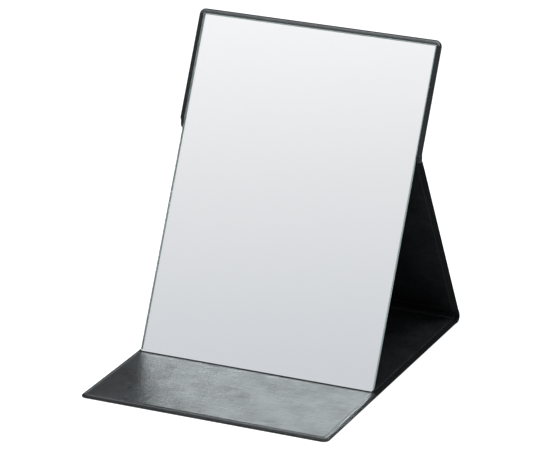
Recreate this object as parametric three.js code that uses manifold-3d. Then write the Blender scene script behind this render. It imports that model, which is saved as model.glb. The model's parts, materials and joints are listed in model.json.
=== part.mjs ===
// Folding countertop mirror in a leatherette cover, standing open as a tent.
// A glass leaf leans on a prop panel; both stand on a flap that lies on the table.
// The cover is one long strip of leatherette: flap, soft spine, prop and upper panel.
// Millimetres, +Z up, +Y towards the back, X across the width. Each panel is laid out
// flat, outer face down at z = 0 and inner face up, and its group then stands it up.
// The origin is on the table, at the centre of the standing mirror's outline.

import * as THREE from 'three';
import { mergeVertices } from 'three/addons/utils/BufferGeometryUtils.js';
import Module from 'manifold-3d';

const wasm = await Module();
wasm.setup();

// ---- Driving dimensions -------------------------------------------------------------

const COVER_WIDTH = 154;        // across the flap, the prop and the upper panel
const GLASS_WIDTH = 148.4;
const GLASS_HEIGHT = 204;
const GLASS_THICKNESS = 2;
const TOP_BORDER = 3;           // leatherette shown above the glass
const LEAN = 24.65;             // degrees that the glass leans back from upright
const CREASE_HEIGHT = 136.8;    // up the glass, from its bottom edge to the back crease
const FLAP_AHEAD = 76.2;        // flap in front of the glass's bottom edge
const FOOT_CORNER = 138.8;      // from the bottom edge back to the foot's sharp corner

// Thicknesses of the laminates, and the glue lines left between their layers
const PANEL = 2.2;              // flap and prop, from outer face to lining
const SKIN = 0.42;              // outer leatherette
const TURN_IN = 0.3;            // outer leatherette again, where it is turned over
const BOARD = 1;
const LINING = 0.24;
const GLUE = 0.08;
const LEAF = 4.8;               // glass front to the upper panel's outer face
const FILM = 0.15;
const UPPER_BOARD = 1.6;

const SKIN_EDGE = 2.6;          // sealed border of solid leatherette round a board
const BOARD_INSET = 3.1;        // edges in from the cover's edge: flap and prop boards,
const UPPER_BOARD_INSET = 2.1;  // the board behind the glass,
const SPACER_INSET = 0.75;      // the strip beside the glass,
const LINING_INSET = 3;         // and the lining
const SEALED_EDGE = 0.52;       // height of the sealed border's edge, as a share of the panel's
const TURN_IN_WIDTH = 13;
const COVER_CORNER = 3.8;       // radius of the cover's outer corners
const BOARD_CORNER = 2;
const GLASS_CORNER = 1.4;
const ARRIS = 0.45;             // ground bevel round the glass
const FILM_INSET = 0.6;         // film's edge, in from the glass's edge
const TAPE_WIDTH = 9;
const TAPE_COUNT = 4;
const CREASE_GAP = 0.3;         // from a piece's end to the crease that it stops at
const TOUCH_GAP = 0.2;          // between the glass's bottom edge and the lining
const FIT = 0.12;               // round the pieces that sit in a pocket
const OVERRUN = 20;             // a panel's body before its ends are cut to length

// The foot: the soft spine bends in two creases, each this far from the sharp corner
const FLAP_CREASE = 3.8;
const PROP_CREASE = 3.8;
const FLAP_BOARD_END = 9.5;
const PROP_BOARD_END = 9.5;
const APEX_BOARD_GAP = 1.6;     // from the back crease to a board's edge

// ---- Worked-out places --------------------------------------------------------------

const lean = THREE.MathUtils.degToRad(LEAN);
const glassFoot = PANEL + TOUCH_GAP + GLASS_THICKNESS * Math.sin(lean);
const creaseY = CREASE_HEIGHT * Math.sin(lean) + LEAF * Math.cos(lean);
const creaseZ = glassFoot + CREASE_HEIGHT * Math.cos(lean) - LEAF * Math.sin(lean);
const propAngle = Math.atan2(creaseZ, FOOT_CORNER - creaseY);
const propLength = Math.hypot(creaseZ, FOOT_CORNER - creaseY);
const spineTurn = (Math.PI - propAngle) / 2;
const flapCreaseY = FOOT_CORNER - FLAP_CREASE;
const propCreaseY = FOOT_CORNER - PROP_CREASE * Math.cos(propAngle);
const propCreaseZ = PROP_CREASE * Math.sin(propAngle);
const centreY = (propCreaseY - FLAP_AHEAD) / 2;

const turnInTop = PANEL - LINING - GLUE;
const turnInBottom = turnInTop - TURN_IN;
const boardBottom = SKIN + GLUE;
const half = COVER_WIDTH / 2;
const upperTop = GLASS_HEIGHT + TOP_BORDER;

// ---- Solids -------------------------------------------------------------------------

function toSolid(geometry) {
  const bare = geometry.clone();
  bare.deleteAttribute('normal');
  bare.deleteAttribute('uv');
  const merged = mergeVertices(bare, 1e-5);
  return new wasm.Manifold(new wasm.Mesh({
    numProp: 3,
    vertProperties: new Float32Array(merged.attributes.position.array),
    triVerts: new Uint32Array(merged.index.array),
  }));
}

function toGeometry(solid) {
  const mesh = solid.getMesh();
  const geometry = new THREE.BufferGeometry();
  geometry.setAttribute('position', new THREE.BufferAttribute(mesh.vertProperties, 3));
  geometry.setIndex(new THREE.BufferAttribute(mesh.triVerts, 1));
  geometry.computeVertexNormals();
  return geometry;
}

function block(x0, x1, y0, y1, z0, z1) {
  const geometry = new THREE.BoxGeometry(x1 - x0, y1 - y0, z1 - z0);
  geometry.translate((x0 + x1) / 2, (y0 + y1) / 2, (z0 + z1) / 2);
  return toSolid(geometry);
}

// A cutter right across the cover
function slab(y0, y1, z0, z1) {
  return block(-half - 1, half + 1, y0, y1, z0, z1);
}

// The part of the cover between its turned-in edges
function window(y0, y1) {
  return block(-half + TURN_IN_WIDTH, half - TURN_IN_WIDTH, y0, y1, SKIN, PANEL);
}

// One ring of a rounded rectangle, drawn in by inset, at height z
function ring(halfWidth, y0, y1, radius, inset, z) {
  const steps = 5;
  const r = Math.max(radius - inset, 0.15);
  const x = halfWidth - inset - r;
  const low = y0 + inset + r;
  const high = y1 - inset - r;
  const corners = [[x, low, -90], [x, high, 0], [-x, high, 90], [-x, low, 180]];
  const points = [];
  for (const [cx, cy, start] of corners) {
    for (let i = 0; i <= steps; i += 1) {
      const angle = THREE.MathUtils.degToRad(start + (90 * i) / steps);
      points.push(cx + r * Math.cos(angle), cy + r * Math.sin(angle), z);
    }
  }
  return points;
}

// A plate with rounded corners whose edge follows a profile of [inset, z] from the bottom up
function plate(halfWidth, y0, y1, radius, profile) {
  const positions = [];
  for (const [inset, z] of profile) {
    positions.push(...ring(halfWidth, y0, y1, radius, inset, z));
  }
  const count = positions.length / 3 / profile.length;
  const index = [];
  for (let level = 0; level + 1 < profile.length; level += 1) {
    for (let i = 0; i < count; i += 1) {
      const a = level * count + i;
      const b = level * count + ((i + 1) % count);
      index.push(a, b, b + count, a, b + count, a + count);
    }
  }
  const top = (profile.length - 1) * count;
  for (let i = 1; i + 1 < count; i += 1) {
    index.push(0, i + 1, i);
    index.push(top, top + i, top + i + 1);
  }
  const geometry = new THREE.BufferGeometry();
  geometry.setAttribute('position', new THREE.Float32BufferAttribute(positions, 3));
  geometry.setIndex(index);
  return toSolid(geometry);
}

// A thin sheet or board with a slightly eased edge
function sheet(halfWidth, y0, y1, z0, z1, radius = 1) {
  const ease = (z1 - z0) * 0.25;
  return plate(halfWidth, y0, y1, radius, [
    [ease, z0], [0, z0 + ease], [0, z1 - ease], [ease, z1],
  ]);
}

// A covered panel's body, whose leatherette slopes down from the board to a thin sealed edge
function panelBody(y0, y1) {
  const height = turnInTop;
  const edge = SEALED_EDGE * height;
  return plate(half, y0, y1, COVER_CORNER, [
    [0.9, 0], [0.25, 0.15 * edge], [0, 0.4 * edge],
    [0, 0.65 * edge], [0.3, edge], [LINING_INSET - 0.1, height],
  ]);
}

// The room inside that body for its board, under the turned-in edges
function boardPocket(y0, y1) {
  return plate(half - SKIN_EDGE, y0, y1, COVER_CORNER - SKIN_EDGE, [
    [0.3, SKIN], [0, SKIN + 0.3], [0, turnInBottom],
  ]);
}

// ---- Materials ----------------------------------------------------------------------

function finish(color, roughness, metalness = 0) {
  return new THREE.MeshStandardMaterial({ color, roughness, metalness });
}

const leatherette = finish(0x17181a, 0.42);
const liningCloth = finish(0x1d1e21, 0.34);
const greyBoard = finish(0x8d867a, 0.9);
const paper = finish(0xb9b2a3, 0.95);
const foam = finish(0xe8e6df, 0.8);
const backFilm = finish(0x2b3033, 0.5);
const mirrorGlass = finish(0xe3e8ea, 0.03, 1);

// ---- Assembly -----------------------------------------------------------------------

const group = new THREE.Group();
const flap = new THREE.Group();
const spine = new THREE.Group();
const prop = new THREE.Group();
const leaf = new THREE.Group();
group.add(flap, spine, prop, leaf);

function add(parent, name, material, solid) {
  const mesh = new THREE.Mesh(toGeometry(solid), material);
  mesh.name = name;
  parent.add(mesh);
}

// Flap: y runs back from the glass's bottom edge to the crease at the foot
function buildFlap() {
  const front = -FLAP_AHEAD;
  const boardEnd = FOOT_CORNER - FLAP_BOARD_END;
  const far = FOOT_CORNER + OVERRUN;

  const skin = panelBody(front, far)
    .subtract(boardPocket(front + SKIN_EDGE, far))
    .subtract(window(front + TURN_IN_WIDTH, far))
    .subtract(slab(boardEnd + FIT, far + 1, SKIN, PANEL))
    .subtract(slab(flapCreaseY - CREASE_GAP, far + 1, -1, PANEL));
  add(flap, 'flap_outer_skin', leatherette, skin);

  const boardStart = front + BOARD_INSET;
  const boardTop = boardBottom + BOARD;
  add(flap, 'flap_board', greyBoard,
    sheet(half - BOARD_INSET, boardStart, boardEnd, boardBottom, boardTop, BOARD_CORNER));
  const levelInset = TURN_IN_WIDTH + FIT;
  add(flap, 'flap_levelling_sheet', paper,
    sheet(half - levelInset, front + levelInset, boardEnd, turnInBottom, turnInTop));
  const liningStart = front + LINING_INSET;
  add(flap, 'flap_lining', liningCloth,
    sheet(half - LINING_INSET, liningStart, boardEnd, PANEL - LINING, PANEL, BOARD_CORNER));
}

// Spine: the boardless strip between the two creases, laid out from the flap's crease
function buildSpine() {
  const length = Math.hypot(propCreaseY - flapCreaseY, propCreaseZ);
  const start = CREASE_GAP;
  const end = length - CREASE_GAP;
  const corner = 0.3;
  add(spine, 'spine_outer_skin', leatherette, sheet(half - 0.2, start, end, 0, SKIN, corner));
  const bottom = SKIN + GLUE;
  add(spine, 'spine_lining', liningCloth,
    sheet(half - LINING_INSET, start + 0.15, end - 0.15, bottom, bottom + LINING, corner));
  spine.position.set(0, flapCreaseY, 0);
  spine.rotation.x = spineTurn;
}

// Prop: y runs from the foot's sharp corner up to the crease behind the glass
function buildProp() {
  const boardStart = PROP_BOARD_END;
  const boardEnd = propLength - APEX_BOARD_GAP;
  const near = -OVERRUN;
  const far = propLength + OVERRUN;

  const skin = panelBody(near, far)
    .subtract(boardPocket(near, far))
    .subtract(window(near, far))
    .subtract(slab(near - 1, boardStart - FIT, SKIN, PANEL))
    .subtract(slab(boardEnd + FIT, far + 1, SKIN, PANEL))
    .subtract(slab(near - 1, PROP_CREASE + CREASE_GAP, -1, PANEL))
    .subtract(slab(propLength - CREASE_GAP, far + 1, -1, PANEL));
  add(prop, 'prop_outer_skin', leatherette, skin);

  add(prop, 'prop_board', greyBoard,
    sheet(half - BOARD_INSET, boardStart, boardEnd, boardBottom, boardBottom + BOARD));
  add(prop, 'prop_levelling_sheet', paper,
    sheet(half - TURN_IN_WIDTH - FIT, boardStart, boardEnd, turnInBottom, turnInTop));
  add(prop, 'prop_lining', liningCloth,
    sheet(half - LINING_INSET, boardStart, boardEnd, PANEL - LINING, PANEL));
  prop.position.set(0, FOOT_CORNER, 0);
  prop.rotation.x = Math.PI - propAngle;
}

// Leaf: y runs up the glass from its bottom edge, z = 0 is the glass's front face
function buildLeaf() {
  const halfGlass = GLASS_WIDTH / 2;
  add(leaf, 'mirror_glass', mirrorGlass, plate(halfGlass, 0, GLASS_HEIGHT, GLASS_CORNER, [
    [ARRIS, -GLASS_THICKNESS], [0, ARRIS - GLASS_THICKNESS], [0, -ARRIS], [ARRIS, 0],
  ]));
  const filmFront = -GLASS_THICKNESS - GLUE;
  const filmBack = filmFront - FILM;
  const filmTop = GLASS_HEIGHT - FILM_INSET;
  add(leaf, 'safety_film', backFilm,
    sheet(halfGlass - FILM_INSET, FILM_INSET, filmTop, filmBack, filmFront, GLASS_CORNER));

  const boardBack = -LEAF + SKIN + GLUE;
  const boardFront = boardBack + UPPER_BOARD;
  const boardHalf = half - UPPER_BOARD_INSET;
  const boardStart = CREASE_HEIGHT + APEX_BOARD_GAP;
  const boardEnd = upperTop - UPPER_BOARD_INSET;
  add(leaf, 'upper_board', greyBoard,
    sheet(boardHalf, boardStart, boardEnd, boardBack, boardFront, BOARD_CORNER));

  // The skin rolls from the back round to the front, and ends level with the glass. It is
  // cut out for the board, for the glass, and for the strip that fills it beside the glass.
  const below = -2;
  const fillInset = SPACER_INSET - 0.25;
  const fillHalf = half - fillInset;
  const fillCorner = COVER_CORNER - fillInset;
  const skin = plate(half, 0, upperTop, COVER_CORNER, [
    [2.4, -LEAF], [1.35, -4.2], [0.6, -3.2], [0.2, -2], [0, -0.9], [0.35, -0.35], [1.1, -0.1],
  ])
    .subtract(plate(boardHalf + FIT, below, boardEnd + FIT, BOARD_CORNER, [
      [0, boardBack - GLUE], [0, boardFront + GLUE],
    ]))
    .subtract(plate(halfGlass + FIT, below, GLASS_HEIGHT + FIT, GLASS_CORNER + FIT, [
      [0, boardFront + GLUE], [0, 1],
    ]))
    .subtract(plate(fillHalf, below, upperTop - fillInset, fillCorner, [
      [0.15, boardFront], [0, -1.6], [0, -0.9], [0.3, -0.45],
    ]))
    .subtract(slab(below - 1, CREASE_HEIGHT + CREASE_GAP, -LEAF - 1, 1));
  add(leaf, 'upper_outer_skin', leatherette, skin);

  // U-shaped strip beside and above the glass, which brings the border level with it
  const spacerBack = boardFront + 2 * GLUE;
  const spacerHalf = half - SPACER_INSET;
  const spacerCorner = COVER_CORNER - SPACER_INSET;
  const spacer = plate(spacerHalf, below, upperTop - SPACER_INSET, spacerCorner, [
    [0.1, spacerBack], [0, spacerBack + 0.4], [0, -0.9], [0.35, -0.6],
  ])
    .subtract(plate(halfGlass + FIT, below - 1, GLASS_HEIGHT + FIT, GLASS_CORNER, [
      [0, -LEAF], [0, 1],
    ]))
    .subtract(slab(below - 1, boardStart, -LEAF, 1));
  add(leaf, 'rim_spacer', greyBoard, spacer);

  // The prop's lining is carried past the crease and bonded up behind the glass
  const bondFront = filmBack - GLUE;
  const bondBack = boardFront + GLUE;
  const anchorEnd = boardStart + TURN_IN_WIDTH;
  add(leaf, 'lining_anchor_strip', liningCloth,
    sheet(halfGlass - LINING_INSET, boardStart, anchorEnd, bondBack, bondFront));

  // Double-sided tape in level strips holds the glass to the upper board
  const tapeHalf = halfGlass - 4;
  const firstTape = anchorEnd + 3;
  const lastTape = GLASS_HEIGHT - 2 - TAPE_WIDTH;
  for (let i = 0; i < TAPE_COUNT; i += 1) {
    const y = firstTape + ((lastTape - firstTape) * i) / (TAPE_COUNT - 1);
    add(leaf, `mounting_tape_${i + 1}`, foam,
      sheet(tapeHalf, y, y + TAPE_WIDTH, bondBack, bondFront, 0.5));
  }
  leaf.position.set(0, 0, glassFoot);
  leaf.rotation.x = Math.PI / 2 - lean;
}

buildFlap();
buildSpine();
buildProp();
buildLeaf();
group.position.set(0, -centreY, 0);
group.updateMatrixWorld(true);

export default group;
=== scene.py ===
"""Folding countertop mirror: the finished leatherette cover and glass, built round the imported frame.

Lengths are in millimetres until a mesh is made; mm() turns them into the frame's metres. The cover
is one strip, so it is laid out flat first: x across it, v along it from the flap's front edge, and w
from its outer face inwards. The strip's path then carries it along the flap, round the foot, up the
prop, over the back crease and up behind the glass.
"""
import json
import math

import bpy
from mathutils import Matrix, Vector


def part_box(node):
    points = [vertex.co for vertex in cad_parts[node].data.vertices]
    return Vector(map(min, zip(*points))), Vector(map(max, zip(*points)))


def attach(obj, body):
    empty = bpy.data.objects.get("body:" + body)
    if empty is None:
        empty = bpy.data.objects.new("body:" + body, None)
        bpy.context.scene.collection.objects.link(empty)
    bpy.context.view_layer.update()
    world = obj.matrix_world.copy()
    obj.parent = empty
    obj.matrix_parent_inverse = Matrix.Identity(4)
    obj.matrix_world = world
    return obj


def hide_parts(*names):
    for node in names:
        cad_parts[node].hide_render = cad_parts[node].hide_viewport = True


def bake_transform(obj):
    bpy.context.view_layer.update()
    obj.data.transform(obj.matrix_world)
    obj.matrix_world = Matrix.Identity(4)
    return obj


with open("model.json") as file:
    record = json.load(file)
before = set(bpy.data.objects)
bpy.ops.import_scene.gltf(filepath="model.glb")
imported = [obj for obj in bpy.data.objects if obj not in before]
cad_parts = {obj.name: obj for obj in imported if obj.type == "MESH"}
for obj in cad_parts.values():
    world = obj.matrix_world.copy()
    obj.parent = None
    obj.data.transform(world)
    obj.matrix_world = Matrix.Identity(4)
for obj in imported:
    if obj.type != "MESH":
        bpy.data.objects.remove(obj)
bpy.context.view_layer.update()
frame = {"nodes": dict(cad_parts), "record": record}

# ---- The design's own sizes, in millimetres -------------------------------------------------

LEAN = math.radians(24.65)      # glass, back from upright
GLASS = (148.4, 204.0, 2.0)
TOP_BORDER = 3.0
CREASE_HEIGHT = 136.8           # up the glass to the back crease
TENT_DEPTH = 138.8              # glass's front edge to the foot's sharp corner
FOOT_CREASE = 3.8               # from the foot's sharp corner to each of its creases
BOARD_END = 9.5                 # from the foot's sharp corner to the flap's and prop's boards
APEX_BOARD_GAP = 1.6

COVER_T = 1.88                  # covered board without its lining
SOFT_T = 0.9                    # doubled leatherette where there is no board
SKIN_T = 0.36
LINING_T = 0.26
LINING_INSET = 3.0
TURN_IN = 13.0
CORNER = 3.8
FOOT_RADIUS = 3.3               # outside of the turn at the foot
APEX_RADIUS = 2.2               # hollow of the back crease
BEHIND_GLASS = 2.18             # where the lining passes behind the glass, above the outer face
LINING_LAP = 13.0               # and how far up it goes there
EDGE_HEIGHT = 0.45              # middle of the panels' sealed edge, above the outer face
BACK_ROUND = 1.4                # its rounding towards the outer face,
EDGE_ROUND = 0.35               # and towards the inner face
BORDER_START = 0.3              # how far in from it the border's slope starts
BORDER_FALL = 0.8               # and how far the slope falls
RIM_FACE = 4.72                 # height of the border beside the glass, above the outer face
RIM_EDGE = 3.8                  # middle of that border's edge
RIM_ROUND = 2.3                 # and its rounding on both sides
SIDE_FOLD = 2.6                 # how far the cover folds over beside the glass
TOP_FOLD = 2.88                 # and above it
APEX_PINCH = 0.15               # edges drawn in at the back crease
GLASS_CORNER = 1.4
ARRIS = 0.45
FOOT_ARRIS = 0.12               # the glass's lower edge is only just broken,
FOOT_DROP = 0.9                 # and cut level with the table, so its front is lower


def mm(value):
    return value / 1000.0


# ---- Places, from the frame -----------------------------------------------------------------

joints = {j["name"]: j for j in frame["record"]["behaviour"]["joints"]}


def joint_yz(name):
    _, y, z = joints[name]["pos_m"]
    return 1000.0 * y, 1000.0 * z


flap_low, flap_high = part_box("flap_outer_skin")
HALF = 1000.0 * (flap_high[0] - flap_low[0]) / 2
FRONT = 1000.0 * flap_low[1]
FOOT_Y = joint_yz("stand_angle")[0] + FOOT_CREASE
APEX_Y, APEX_Z = joint_yz("mirror_tilt")
PROP_ANGLE = math.atan2(APEX_Z, FOOT_Y - APEX_Y)
PROP_LENGTH = math.hypot(APEX_Z, FOOT_Y - APEX_Y)
FOOT_TURN = math.pi - PROP_ANGLE
APEX_TURN = FOOT_TURN - (math.pi / 2 - LEAN)
FOOT_TANGENT = FOOT_RADIUS * math.tan(FOOT_TURN / 2)
APEX_TANGENT = APEX_RADIUS * math.tan(APEX_TURN / 2)
UPPER_LENGTH = GLASS[1] + TOP_BORDER - CREASE_HEIGHT

# ---- The strip's path -----------------------------------------------------------------------
# Stretches of (length, turn); a positive turn bends the strip towards its inner face.

STRETCHES = [
    (FOOT_Y - FRONT - FOOT_TANGENT, 0.0),
    (FOOT_RADIUS * FOOT_TURN, FOOT_TURN),
    (PROP_LENGTH - FOOT_TANGENT - APEX_TANGENT, 0.0),
    (APEX_RADIUS * APEX_TURN, -APEX_TURN),
    (UPPER_LENGTH - APEX_TANGENT, 0.0),
]
V_FOOT = STRETCHES[0][0]                        # where the turn at the foot starts
V_FOOT_MID = V_FOOT + STRETCHES[1][0] / 2
V_PROP = V_FOOT + STRETCHES[1][0]               # and where it ends
V_APEX = V_PROP + STRETCHES[2][0]               # where the back crease starts
V_UPPER = V_APEX + STRETCHES[3][0]
V_END = V_UPPER + STRETCHES[4][0]
V_FLAP_BOARD = FOOT_Y - FRONT - BOARD_END       # boards' ends, along the strip
V_GLASS = FOOT_Y - FRONT - TENT_DEPTH           # under the glass's bottom edge
V_PROP_BOARD = V_PROP + BOARD_END - FOOT_TANGENT
V_PROP_TOP = V_APEX + APEX_TANGENT - APEX_BOARD_GAP
V_RIM = V_UPPER - APEX_TANGENT + APEX_BOARD_GAP
V_SEAM = V_PROP_BOARD + 2                       # low on the prop, where two lengths meet


def path_at(v):
    """Point (y, z) of the outer face at v along the strip, and the strip's heading there."""
    y, z, heading, left = FRONT, 0.0, 0.0, v
    for length, turn in STRETCHES:
        step = min(left, length) if length > 0 else 0.0
        if turn == 0.0:
            y += step * math.cos(heading)
            z += step * math.sin(heading)
        else:
            radius = length / turn
            bend = step / radius
            y += radius * (math.sin(heading + bend) - math.sin(heading))
            z += radius * (math.cos(heading) - math.cos(heading + bend))
            heading += bend
        left -= step
        if left <= 1e-9:
            break
    else:
        y += left * math.cos(heading)
        z += left * math.sin(heading)
    return y, z, heading


def place(x, v, w):
    """Strip coordinates to a point in the row frame, in metres."""
    y, z, heading = path_at(v)
    return Vector((mm(x), mm(y - w * math.sin(heading)), mm(z + w * math.cos(heading))))


# ---- Section of the cover -------------------------------------------------------------------


def smooth(value, low, high):
    t = min(max((value - low) / (high - low), 0.0), 1.0)
    return t * t * (3 - 2 * t)


def rim_share(v):
    """0 on the panels, 1 where the cover wraps the glass; the wrap's lower end is round."""
    u = min(max((v - V_APEX) / (V_RIM - V_APEX), 0.0), 1.0)
    return math.sqrt(1 - (1 - u) ** 2)


def pinch(v):
    """How far the cover's edges draw in where it is soft at the back crease."""
    return APEX_PINCH * (1 - smooth(abs(v - (V_APEX + V_UPPER) / 2), 0.4, 4.0))


def panel_thickness(v):
    """The covered board's thickness, less where the boards stop for the foot and the back crease."""
    soft = smooth(v, V_FLAP_BOARD - 0.4, V_FLAP_BOARD + 1.8)
    soft -= smooth(v, V_PROP_BOARD - 1.8, V_PROP_BOARD + 0.4)
    soft += smooth(v, V_PROP_TOP - 0.4, V_PROP_TOP + 0.9)
    return COVER_T + (SOFT_T - COVER_T) * soft


def cover_thickness(v):
    thickness = panel_thickness(v)
    return thickness + (RIM_FACE - thickness) * rim_share(v)


def lining_base(v):
    """Underside of the lining: it lies on the cover, and passes between board and glass at the top."""
    thickness = panel_thickness(v)
    share = smooth(v, V_RIM - 1.2, V_RIM + 1.0)
    glue = 0.02
    return thickness + (BEHIND_GLASS - thickness) * share + glue


def ellipse_drop(distance, reach, height):
    """How far a rolled edge has dropped at this distance in from the outline."""
    if distance >= reach:
        return 0.0
    t = 1.0 - distance / reach
    return height * (1.0 - math.sqrt(max(0.0, 1.0 - t * t)))


def cover_surface(distance, v):
    """Heights of the outer and inner faces, at a distance in from the strip's outline.

    The panels' boards stop short of the edge, so their border slopes down to a thin sealed edge.
    Beside the glass the border is as thick as the leaf and evenly rounded.
    """
    t = cover_thickness(v)
    share = rim_share(v)
    panel_edge = EDGE_HEIGHT * t / COVER_T
    back_share = smooth(v, V_RIM - 0.9, V_RIM + 2.2)
    outer_high = panel_edge + (RIM_EDGE - panel_edge) * back_share
    outer_reach = BACK_ROUND + (RIM_ROUND - BACK_ROUND) * back_share
    slope_high = BORDER_FALL * t / COVER_T * (1 - share)
    slope = slope_high * (1 - smooth(distance, BORDER_START, LINING_INSET - 0.1))
    round_high = t - slope_high - outer_high
    round_reach = EDGE_ROUND + (RIM_ROUND - EDGE_ROUND) * share
    outer = ellipse_drop(distance, outer_reach, outer_high)
    inner = t - slope - ellipse_drop(distance, round_reach, round_high)
    return outer, inner


def lining_surface(distance, v):
    """Heights of the lining's two faces. Its edge lies down unevenly, over 0.3 to 1.1 mm."""
    base = lining_base(v)
    uneven = 0.5 + 0.28 * math.sin(0.35 * v) + 0.22 * math.sin(0.83 * v + 1.0)
    reach = 0.3 + 0.8 * max(0.0, min(1.0, uneven))
    outer = base + ellipse_drop(min(distance, 0.2), 0.2, LINING_T * 0.2)
    inner = base + LINING_T - ellipse_drop(distance, reach, LINING_T * 0.55)
    return outer, inner


# ---- Grids over the strip -------------------------------------------------------------------

# The third slot is a darker, duller copy of the leatherette: painted shade inside the tent.
PLAIN, RUBBED, SHADED = 0, 1, 2   # the cover's material slots
TOP_RUB = 0.7                   # how far in from the edge the top border's rubbed part starts,
FLAP_RUB = 1.5                  # and the flap's
BEND_STEP, FLAT_STEP, CROSS_STEP = 0.4, 6.0, 12.0
EDGE_STEPS = [0, 0.03, 0.1, 0.2, 0.34, 0.52, 0.75, 1.0, 1.3, 1.7, 2.15, 2.68, 3.3, 4.2, 6.0, 9.0, TURN_IN]


def inner_slot(distance, v):
    """Material slot of the inner side, at a distance in from the outline.

    The borders in front of the glass and above it are rubbed smooth by hands. Inside the tent the border
    gets a darker, duller copy of the leatherette: painted shade.
    """
    if v < V_GLASS:
        return RUBBED if distance > FLAP_RUB else PLAIN
    # inside the tent: the darker copy, painted shade
    if v < V_APEX:
        return SHADED
    return RUBBED if distance > TOP_RUB and v > V_END - TOP_BORDER else PLAIN


def between(low, high, longest):
    """Evenly spaced values from low to high, no further apart than longest, both ends included."""
    count = max(1, math.ceil((high - low) / longest))
    return [low + (high - low) * i / count for i in range(count + 1)]


def strip_rows(low, high, rounded_low, rounded_high):
    """Values of v for a grid from low to high: close together at rounded ends and at every bend."""
    rows = set()
    stops = sorted({low, high, *(
        v for v in (V_FLAP_BOARD - 0.5, V_FLAP_BOARD + 2, V_FOOT, V_FOOT_MID, V_PROP,
                    V_PROP_BOARD - 2, V_PROP_BOARD + 0.5, V_PROP_TOP - 0.5, V_APEX, V_UPPER,
                    V_RIM + 2.4, V_END - TOP_FOLD, V_END - TURN_IN)
        if low < v < high)})
    for a, b in zip(stops, stops[1:]):
        middle = (a + b) / 2
        near_foot = V_FLAP_BOARD - 1 < middle < V_PROP_BOARD + 1
        near_apex = V_PROP_TOP - 1 < middle < V_RIM + 2.6
        rows.update(between(a, b, BEND_STEP if near_foot or near_apex else FLAT_STEP))
    if rounded_low:
        rows = {v for v in rows if v > low + TURN_IN} | {low + e for e in EDGE_STEPS if low + e < high}
    if rounded_high:
        rows = {v for v in rows if v < high - TURN_IN} | {high - e for e in EDGE_STEPS if high - e > low}
    ordered = sorted(rows)
    return [v for i, v in enumerate(ordered) if i == 0 or v - ordered[i - 1] > 1e-4]


def outline_half(v, low, high, half, corner, rounded_low, rounded_high):
    """Half the strip's width at v, less at a rounded corner."""
    e = corner
    if rounded_low:
        e = min(e, v - low)
    if rounded_high:
        e = min(e, high - v)
    return half - pinch(v) - corner + math.sqrt(max(0.0, corner * corner - (corner - e) ** 2))


def outline_distance(x, v, low, high, half, corner, rounded_low, rounded_high):
    """Distance in from the outline, for a strip whose rounded ends have rounded corners."""
    qx = abs(x) - (half - pinch(v) - corner)
    qy = -1e9
    if rounded_low:
        qy = max(qy, low + corner - v)
    if rounded_high:
        qy = max(qy, v - (high - corner))
    outside = math.hypot(max(qx, 0.0), max(qy, 0.0))
    return corner - outside - min(max(qx, qy), 0.0)


def strip_mesh(name, low, high, half, corner, surface, rounded_low, rounded_high, window=None):
    """A closed piece of strip between v = low and high, or an open one where window(x, v) is true.

    window is asked at the middle of each face of the inner side, and the face is left out.
    """
    rows = strip_rows(low, high, rounded_low, rounded_high)
    insets = [e for e in EDGE_STEPS if e < half]
    across = between(-(half - TURN_IN), half - TURN_IN, CROSS_STEP)[1:-1]
    verts, faces, finishes = [], [], []
    outer_ids, inner_ids, flat = [], [], []

    def vertex(x, v, w):
        verts.append(place(x, v, w))
        return len(verts) - 1

    for v in rows:
        hw = outline_half(v, low, high, half, corner, rounded_low, rounded_high)
        xs = [-(hw - e) for e in insets] + across + [hw - e for e in reversed(insets)]
        outer_row, inner_row = [], []
        for i, x in enumerate(xs):
            distance = max(0.0, outline_distance(x, v, low, high, half, corner,
                                                 rounded_low, rounded_high))
            on_side = i in (0, len(xs) - 1)
            on_end = (rounded_low and v == rows[0]) or (rounded_high and v == rows[-1])
            outer, inner = surface(0.0 if on_side or on_end else distance, v)
            outer_row.append(vertex(x, v, outer))
            inner_row.append(outer_row[-1] if on_side or on_end else vertex(x, v, inner))
        outer_ids.append(outer_row)
        inner_ids.append(inner_row)
        flat.append(xs)

    def quad(a, b, c, d, finish=PLAIN):
        ring = []
        for corner_id in (a, b, c, d):
            if corner_id not in ring:
                ring.append(corner_id)
        if len(ring) >= 3:
            faces.append(ring)
            finishes.append(finish)

    for r in range(len(rows) - 1):
        for i in range(len(flat[r]) - 1):
            quad(outer_ids[r][i], outer_ids[r + 1][i], outer_ids[r + 1][i + 1], outer_ids[r][i + 1])
            x = sum((flat[r][i], flat[r][i + 1], flat[r + 1][i], flat[r + 1][i + 1])) / 4
            v = (rows[r] + rows[r + 1]) / 2
            if window is None or not window(x, v):
                distance = outline_distance(x, v, low, high, half, corner, rounded_low, rounded_high)
                quad(inner_ids[r][i], inner_ids[r][i + 1], inner_ids[r + 1][i + 1],
                     inner_ids[r + 1][i], inner_slot(distance, v))
    if window is None:
        for r, rounded in ((0, rounded_low), (len(rows) - 1, rounded_high)):
            if rounded:
                continue
            for i in range(len(flat[r]) - 1):
                ring = (outer_ids[r][i], outer_ids[r][i + 1], inner_ids[r][i + 1], inner_ids[r][i])
                quad(*(ring if r == 0 else ring[::-1]))
    obj = make_object(name, verts, faces)
    for polygon, finish in zip(obj.data.polygons, finishes):
        polygon.material_index = finish
    return obj


def make_object(name, verts, faces):
    mesh = bpy.data.meshes.new(name)
    mesh.from_pydata([tuple(p) for p in verts], [], faces)
    mesh.validate()
    mesh.update()
    for polygon in mesh.polygons:
        polygon.use_smooth = True
    obj = bpy.data.objects.new(name, mesh)
    bpy.context.scene.collection.objects.link(obj)
    return obj


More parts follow.
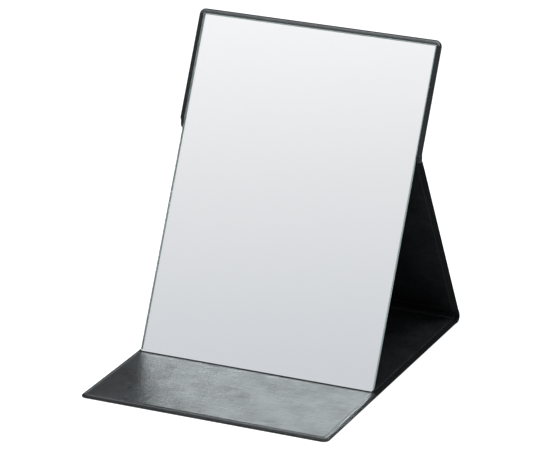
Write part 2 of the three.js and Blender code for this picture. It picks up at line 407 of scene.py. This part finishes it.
def apply_modifiers(obj):
    """Puts an object's modifiers into its mesh."""
    graph = bpy.context.evaluated_depsgraph_get()
    mesh = bpy.data.meshes.new_from_object(obj.evaluated_get(graph))
    obj.modifiers.clear()
    obj.data = mesh
    return obj


def make_shell(obj):
    """Gives an open skin its thickness, inwards from the face that shows."""
    solid = obj.modifiers.new("skin", "SOLIDIFY")
    solid.thickness = mm(SKIN_T)
    solid.offset = -1
    solid.use_quality_normals = True
    return apply_modifiers(obj)


# ---- Materials ------------------------------------------------------------------------------

GRAIN_PER_M = 1300.0            # the leatherette's pebbles, streaks and clouds
STREAKS_PER_M = 650.0
CLOUDS_PER_M = 55.0


def new_material(name):
    material = bpy.data.materials.new(name)
    material.use_nodes = True
    nodes = material.node_tree.nodes
    return material, nodes, material.node_tree.links, nodes["Principled BSDF"]


def scaled_coordinates(nodes, links, scale):
    """Object coordinates stretched by scale along X, Y and Z."""
    coordinates = nodes.new("ShaderNodeTexCoord")
    mapping = nodes.new("ShaderNodeMapping")
    mapping.inputs["Scale"].default_value = scale
    links.new(coordinates.outputs["Object"], mapping.inputs["Vector"])
    return mapping.outputs["Vector"]


def noise(nodes, links, vector, scale, detail=4.0, roughness=0.55):
    texture = nodes.new("ShaderNodeTexNoise")
    texture.inputs["Scale"].default_value = scale
    texture.inputs["Detail"].default_value = detail
    texture.inputs["Roughness"].default_value = roughness
    links.new(vector, texture.inputs["Vector"])
    return texture.outputs["Fac"]


def remap(nodes, links, value, low, high, to_low, to_high):
    node = nodes.new("ShaderNodeMapRange")
    node.inputs["From Min"].default_value = low
    node.inputs["From Max"].default_value = high
    node.inputs["To Min"].default_value = to_low
    node.inputs["To Max"].default_value = to_high
    links.new(value, node.inputs["Value"])
    return node.outputs["Result"]


def bump(nodes, links, height, distance, strength, normal=None):
    node = nodes.new("ShaderNodeBump")
    node.inputs["Strength"].default_value = strength
    node.inputs["Distance"].default_value = distance
    links.new(height, node.inputs["Height"])
    if normal is not None:
        links.new(normal, node.inputs["Normal"])
    return node.outputs["Normal"]


def math_node(nodes, links, operation, first, second):
    node = nodes.new("ShaderNodeMath")
    node.operation = operation
    links.new(first, node.inputs[0])
    links.new(second, node.inputs[1])
    return node.outputs["Value"]


def leatherette(name, color, low_roughness, high_roughness, specular):
    """Leatherette: pebbled grain, faint crossed streaks, and a gloss that is patchy from handling."""
    material, nodes, links, shader = new_material(name)
    vector = scaled_coordinates(nodes, links, (1.0, 1.0, 1.0))
    pebbles = nodes.new("ShaderNodeTexVoronoi")
    pebbles.feature = "DISTANCE_TO_EDGE"
    pebbles.inputs["Scale"].default_value = GRAIN_PER_M
    pebbles.inputs["Randomness"].default_value = 0.9
    links.new(vector, pebbles.inputs["Vector"])
    grain = remap(nodes, links, pebbles.outputs["Distance"], 0.0, 0.22, 0.0, 1.0)
    along = noise(nodes, links, scaled_coordinates(nodes, links, (1.0, 0.2, 1.0)), STREAKS_PER_M, 3.0, 0.7)
    across = noise(nodes, links, scaled_coordinates(nodes, links, (0.2, 1.0, 1.0)), STREAKS_PER_M, 3.0, 0.7)
    streaks = remap(nodes, links, math_node(nodes, links, "ADD", along, across), 0.6, 1.4, 0.0, 1.0)
    cloud = noise(nodes, links, vector, CLOUDS_PER_M, 5.0, 0.65)

    mix = nodes.new("ShaderNodeMix")
    mix.data_type = "RGBA"
    worn_dark, worn_pale = 0.5, 3.8
    mix.inputs["A"].default_value = (*[c * worn_dark for c in color], 1.0)
    mix.inputs["B"].default_value = (*[min(1.0, c * worn_pale) for c in color], 1.0)
    bloom = math_node(nodes, links, "ADD", remap(nodes, links, cloud, 0.2, 0.8, 0.0, 0.5),
                      remap(nodes, links, streaks, 0.0, 1.0, 0.0, 0.5))
    links.new(bloom, mix.inputs["Factor"])
    links.new(mix.outputs["Result"], shader.inputs["Base Color"])

    spread = high_roughness - low_roughness
    patchy = remap(nodes, links, cloud, 0.25, 0.75, low_roughness, low_roughness + 0.7 * spread)
    streaky = remap(nodes, links, streaks, 0.0, 1.0, 0.0, 0.5 * spread)
    roughness = math_node(nodes, links, "ADD", patchy, streaky)
    links.new(roughness, shader.inputs["Roughness"])
    fine = bump(nodes, links, grain, 0.00005, 0.4)
    lines = bump(nodes, links, streaks, 0.0002, 0.6, fine)
    links.new(bump(nodes, links, cloud, 0.0005, 0.25, lines), shader.inputs["Normal"])
    shader.inputs["IOR"].default_value = 1.5
    shader.inputs["Specular IOR Level"].default_value = specular
    return material


def speckled(name, color, roughness, speckle, scale):
    """A matt surface with fine speckle in its colour and roughness."""
    material, nodes, links, shader = new_material(name)
    vector = scaled_coordinates(nodes, links, (1.0, 1.0, 1.0))
    fine = noise(nodes, links, vector, scale)
    mix = nodes.new("ShaderNodeMix")
    mix.data_type = "RGBA"
    mix.inputs["A"].default_value = (*[c * (1 - speckle) for c in color], 1.0)
    mix.inputs["B"].default_value = (*[min(1.0, c * (1 + speckle)) for c in color], 1.0)
    links.new(fine, mix.inputs["Factor"])
    links.new(mix.outputs["Result"], shader.inputs["Base Color"])
    links.new(remap(nodes, links, fine, 0.3, 0.7, roughness * 0.9, min(1.0, roughness * 1.1)),
              shader.inputs["Roughness"])
    return material


def glass_materials():
    """Clear front, ground edge and silvered back of the mirror's plate, in the order of their slots."""
    clear, _, _, shader = new_material("clear_glass")
    shader.inputs["Base Color"].default_value = (0.985, 0.995, 0.99, 1.0)
    shader.inputs["Roughness"].default_value = 0.0
    shader.inputs["Transmission Weight"].default_value = 1.0
    shader.inputs["IOR"].default_value = 1.5

    ground, nodes, links, shader = new_material("ground_glass_edge")
    vector = scaled_coordinates(nodes, links, (1.0, 1.0, 1.0))
    frost = noise(nodes, links, vector, 3000.0, 2.0)
    links.new(remap(nodes, links, frost, 0.3, 0.7, 0.4, 0.6), shader.inputs["Roughness"])
    links.new(bump(nodes, links, frost, 0.00003, 0.4), shader.inputs["Normal"])
    shader.inputs["Base Color"].default_value = (0.20, 0.26, 0.25, 1.0)
    shader.inputs["Transmission Weight"].default_value = 0.5
    shader.inputs["IOR"].default_value = 1.5

    silver, _, _, shader = new_material("silvering")
    shader.inputs["Base Color"].default_value = (0.955, 0.96, 0.96, 1.0)
    shader.inputs["Metallic"].default_value = 1.0
    shader.inputs["Roughness"].default_value = 0.0
    return clear, ground, silver


# ---- Camera and light -----------------------------------------------------------------------

SOFTBOX_TINT = (0.9, 0.985, 1.0)


def make_camera():
    """The photograph's view: from the front right, a little above, with a long lens."""
    azimuth, elevation, roll = math.radians(22.916), math.radians(19.495), math.radians(1.165)
    distance, focal = 2066.07, 3521.8
    slide_right, slide_up = 8.86, 9.05
    frame_width, sensor_width = 540, 36.0
    forward = Vector((-math.sin(azimuth) * math.cos(elevation),
                      math.cos(azimuth) * math.cos(elevation), -math.sin(elevation)))
    right = forward.cross(Vector((0, 0, 1))).normalized()
    up = right.cross(forward)
    right, up = (right * math.cos(roll) + up * math.sin(roll),
                 up * math.cos(roll) - right * math.sin(roll))
    aim = Vector((0, FOOT_Y - TENT_DEPTH + 40, 90)) - slide_right * right - slide_up * up
    data = bpy.data.cameras.new("camera")
    camera = bpy.data.objects.new("camera", data)
    bpy.context.scene.collection.objects.link(camera)
    data.sensor_width = sensor_width
    data.lens = focal / frame_width * sensor_width
    data.clip_start, data.clip_end = 0.1, 20.0
    turn = Matrix((right, up, -forward)).transposed()
    camera.matrix_world = Matrix.Translation((aim - forward * distance) / 1000.0) @ turn.to_4x4()
    bpy.context.scene.camera = camera


def ramp(nodes, links, value, stops):
    """Colours along a value, as (value, colour) stops."""
    node = nodes.new("ShaderNodeValToRGB")
    while len(node.color_ramp.elements) < len(stops):
        node.color_ramp.elements.new(0.5)
    for element, (position, color) in zip(node.color_ramp.elements, stops):
        element.position = position
        element.color = (*color, 1.0)
    links.new(value, node.inputs["Fac"])
    return node.outputs["Color"]


def blend_colors(nodes, links, factor, first, second):
    mix = nodes.new("ShaderNodeMix")
    mix.data_type = "RGBA"
    links.new(factor, mix.inputs["Factor"])
    links.new(first, mix.inputs["A"])
    links.new(second, mix.inputs["B"])
    return mix.outputs["Result"]


def make_world():
    """Studio surround: a gradient in front that the mirror shows, dark low behind, pale horizon.

    The gradient runs along one tilted direction, so the mirror is brighter towards its upper left.
    """
    world = bpy.data.worlds.new("studio")
    bpy.context.scene.world = world
    world.use_nodes = True
    nodes, links = world.node_tree.nodes, world.node_tree.links
    direction = nodes.new("ShaderNodeTexCoord").outputs["Generated"]
    split = nodes.new("ShaderNodeSeparateXYZ")
    links.new(direction, split.inputs["Vector"])

    tilt = nodes.new("ShaderNodeVectorMath")
    tilt.operation = "DOT_PRODUCT"
    tilt.inputs[1].default_value = (-0.307, 0.137, 0.942)
    links.new(direction, tilt.inputs[0])
    front = ramp(nodes, links, tilt.outputs["Value"], [
        (0.00, (0.33, 0.33, 0.34)), (0.28, (0.44, 0.455, 0.475)), (0.38, (0.655, 0.67, 0.70)),
        (0.425, (0.80, 0.80, 0.825)), (0.468, (0.965, 0.955, 0.975)), (0.50, (0.98, 0.97, 0.99)),
        (0.58, (0.70, 0.71, 0.73)), (1.00, (0.70, 0.71, 0.73))])
    behind = ramp(nodes, links, split.outputs["Z"], [
        (0.0, (0.10, 0.104, 0.112)), (0.45, (0.07, 0.074, 0.081)), (0.65, (0.5, 0.5, 0.5)),
        (0.9, (0.8, 0.8, 0.8))])
    sides = blend_colors(nodes, links, remap(nodes, links, split.outputs["Y"], -0.25, 0.35, 0.0, 1.0),
                         front, behind)
    pale = nodes.new("ShaderNodeRGB").outputs[0]
    pale.default_value = (0.95, 0.95, 0.95, 1.0)
    above = remap(nodes, links, split.outputs["Z"], 0.02, 0.10, 0.0, 1.0)
    links.new(blend_colors(nodes, links, above, pale, sides), nodes["Background"].inputs["Color"])
    nodes["Background"].inputs["Strength"].default_value = 1.0


def make_softbox(name, center, size, radiance):
    """A rectangular area light at a place given in metres, facing the mirror's foot."""
    data = bpy.data.lights.new(name, "AREA")
    data.shape = "RECTANGLE"
    data.size, data.size_y = size
    data.energy = radiance * math.pi * size[0] * size[1]
    data.color = SOFTBOX_TINT
    light = bpy.data.objects.new(name, data)
    bpy.context.scene.collection.objects.link(light)
    away = Vector(center).normalized()
    along = (Vector((1, 0, 0)) - away * away.x).normalized()
    turn = Matrix((along, away.cross(along), away)).transposed()
    light.matrix_world = Matrix.Translation(center) @ turn.to_4x4()


def make_floor():
    """A plain pale table top, far wider than the view."""
    material, nodes, links, shader = new_material("pale_floor")
    shader.inputs["Base Color"].default_value = (0.45, 0.45, 0.45, 1.0)
    shader.inputs["Roughness"].default_value = 0.9
    shader.inputs["Specular IOR Level"].default_value = 0.1
    shader.inputs["Emission Color"].default_value = (1.0, 1.0, 1.0, 1.0)
    shader.inputs["Emission Strength"].default_value = 0.68
    side, z = 4.0, -0.0001
    corners = [(-side, -side, z), (side, -side, z), (side, side, z), (-side, side, z)]
    floor = make_object("floor", corners, [(0, 1, 2, 3)])
    floor.data.materials.append(material)


# ---- Pieces ---------------------------------------------------------------------------------


def outline_ring(half, low, high, corner, inset, steps=8):
    """Points (x, y) round a rounded rectangle, drawn in by inset."""
    radius = max(corner - inset, 0.05)
    x = half - inset - radius
    centers = [(x, low + inset + radius, -90), (x, high - inset - radius, 0),
               (-x, high - inset - radius, 90), (-x, low + inset + radius, 180)]
    points = []
    for cx, cy, start in centers:
        for i in range(steps + 1):
            angle = math.radians(start + 90 * i / steps)
            points.append((cx + radius * math.cos(angle), cy + radius * math.sin(angle)))
    return points


CLEAR, GROUND, SILVER = 0, 1, 2     # the glass's material slots


def build_glass():
    """The mirror's plate: clear front, ground sides, silvered back and a bright foot."""
    low_corner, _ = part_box("mirror_glass")
    foot_y, foot_z = FOOT_Y - TENT_DEPTH, 1000.0 * low_corner[2] + GLASS[2] * math.sin(LEAN)
    up = Vector((0, math.sin(LEAN), math.cos(LEAN)))
    out = Vector((0, -math.cos(LEAN), math.sin(LEAN)))
    profile = [(ARRIS, 0.0), (ARRIS * 0.12, -ARRIS * 0.88), (0.0, -ARRIS * 1.2),
               (0.0, -GLASS[2] + ARRIS), (ARRIS, -GLASS[2])]
    verts, faces, slots = [], [], []
    for inset, depth in profile:
        for x, y in outline_ring(GLASS[0] / 2, 0.0, GLASS[1], GLASS_CORNER, inset):
            if y <= GLASS_CORNER + 1e-6:
                y -= inset * (1 - FOOT_ARRIS / ARRIS) + FOOT_DROP * (1 + depth / GLASS[2])
            point = Vector((x, foot_y, foot_z)) + up * y + out * depth
            verts.append(point / 1000.0)
    count = len(verts) // len(profile)
    for level in range(len(profile) - 1):
        for i in range(count):
            a, b = level * count + i, level * count + (i + 1) % count
            faces.append((a, a + count, b + count, b))
            slots.append(GROUND)
    right, left = count // 4 - 1, 3 * count // 4        # where the foot's corners end
    faces.append(tuple(range(right, left + 1)))
    slots.append(CLEAR)
    faces.append(tuple(range(left, count)) + tuple(range(right + 1)))
    slots.append(SILVER)
    faces.append(tuple(reversed(range((len(profile) - 1) * count, len(profile) * count))))
    slots.append(SILVER)
    glass = make_object("mirror_plate", verts, faces)
    for material in glass_materials():
        glass.data.materials.append(material)
    for polygon, slot in zip(glass.data.polygons, slots):
        polygon.material_index = slot
        polygon.use_smooth = False
    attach(glass, "leaf")
    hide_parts("mirror_glass")


def in_turn_in(x, v):
    """True over the window between the cover's turned-in edges."""
    return abs(x) < HALF - TURN_IN and v > TURN_IN


def in_upper_window(x, v):
    """True where the prop's window is, and over the glass higher up."""
    if v < V_APEX - 0.1:
        return abs(x) < HALF - TURN_IN
    return abs(x) < HALF - pinch(v) - SIDE_FOLD and v < V_END - TOP_FOLD


def bend_at_creases(lower, middle, upper):
    """Bakes each length of the strip's transform into its mesh; the bodies and places listed for its crease
    are not used.
    """
    for piece, body_a, body_b, v_from, v_to in (
            (lower, "flap", "spine", V_FOOT - 0.5, V_FOOT_MID),
            (middle, "spine", "prop", V_FOOT_MID, V_PROP + 0.5),
            (upper, "prop", "leaf", V_APEX - 0.8, V_UPPER + 0.8)):
        place(0, v_from, 0.5)
        place(0, v_to, 0.5)
        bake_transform(piece)


def build_cover(*finishes):
    """The leatherette: three lengths that meet in the middle of the spine and low on the prop.

    The finishes are the plain, the rubbed, and a darker, duller copy that paints the shade inside the tent,
    in the order of their slots.
    """
    lower = strip_mesh("flap_cover", 0.0, V_FOOT_MID, HALF, CORNER, cover_surface,
                       True, False, in_turn_in)
    middle = strip_mesh("foot_cover", V_FOOT_MID, V_SEAM, HALF, CORNER, cover_surface,
                        False, False, in_turn_in)
    upper = strip_mesh("back_cover", V_SEAM, V_END, HALF, CORNER, cover_surface,
                       False, True, in_upper_window)
    for piece in (lower, middle, upper):
        make_shell(piece)
        for material in finishes:
            piece.data.materials.append(material)
    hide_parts("flap_outer_skin", "spine_outer_skin")
    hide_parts("prop_outer_skin", "upper_outer_skin")
    bend_at_creases(lower, middle, upper)


def build_lining(handled, shaded_copy):
    """The lining, in the same three lengths; its top end is caught behind the glass.

    The flap's is shiny from handling; the rest is a darker, duller copy of it, painted shade for the inside
    of the tent.
    """
    half = HALF - LINING_INSET
    end = V_RIM + LINING_LAP
    lower = strip_mesh("flap_lining_sheet", LINING_INSET, V_FOOT_MID, half, 2.0, lining_surface,
                       True, False)
    middle = strip_mesh("foot_lining_sheet", V_FOOT_MID, V_SEAM, half, 2.0, lining_surface,
                        False, False)
    upper = strip_mesh("prop_lining_sheet", V_SEAM, end, half, 2.0, lining_surface,
                       False, False)
    for piece, material in ((lower, handled), (middle, shaded_copy), (upper, shaded_copy)):
        for _ in (PLAIN, RUBBED, SHADED):
            piece.data.materials.append(material)
    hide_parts("flap_lining", "spine_lining")
    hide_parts("prop_lining", "lining_anchor_strip")
    bend_at_creases(lower, middle, upper)


def dress_cad_nodes():
    """Materials for the CAD pieces that keep their own shape."""
    board = speckled("grey_board", (0.36, 0.34, 0.30), 0.9, 0.25, 1400.0)
    paper = speckled("levelling_paper", (0.62, 0.59, 0.52), 0.95, 0.08, 2200.0)
    tape = speckled("bonding_tape", (0.80, 0.79, 0.74), 0.7, 0.05, 1800.0)
    film = speckled("safety_film", (0.03, 0.033, 0.036), 0.45, 0.15, 700.0)
    finishes = {"grey_board": board, "levelling_paper": paper, "bonding_tape": tape,
                "safety_film": film}
    for part in frame["record"]["subparts"]:
        material = finishes.get(part["material_slot"])
        if material is not None:
            node = frame["nodes"][part["node"]]
            node.data.materials.clear()
            node.data.materials.append(material)


make_camera()
make_world()
make_floor()
make_softbox("overhead_softbox", (0.0, -0.17, 1.05), (1.3, 0.8), 3.45)
make_softbox("bright_softbox", (0.14, -0.2, 1.15), (0.45, 0.4), 13.0)
handled_lining = leatherette("handled_lining", (0.0042, 0.0045, 0.0052), 0.19, 0.5, 0.65)
# A darker, duller copy of the flap's lining: painted shade for the lining inside the tent.
shaded_lining = leatherette("shaded_lining", (0.0028, 0.003, 0.0034), 0.34, 0.62, 0.14)
# The cover's third material is a darker, duller copy of the leatherette: painted shade inside the tent.
build_cover(leatherette("black_leatherette", (0.0042, 0.0043, 0.0047), 0.38, 0.6, 0.13),
            handled_lining,
            leatherette("shaded_leatherette", (0.0032, 0.0033, 0.0036), 0.55, 0.75, 0.03))
build_lining(handled_lining, shaded_lining)
build_glass()
dress_cad_nodes()

bpy.context.scene.view_settings.view_transform = "Standard"
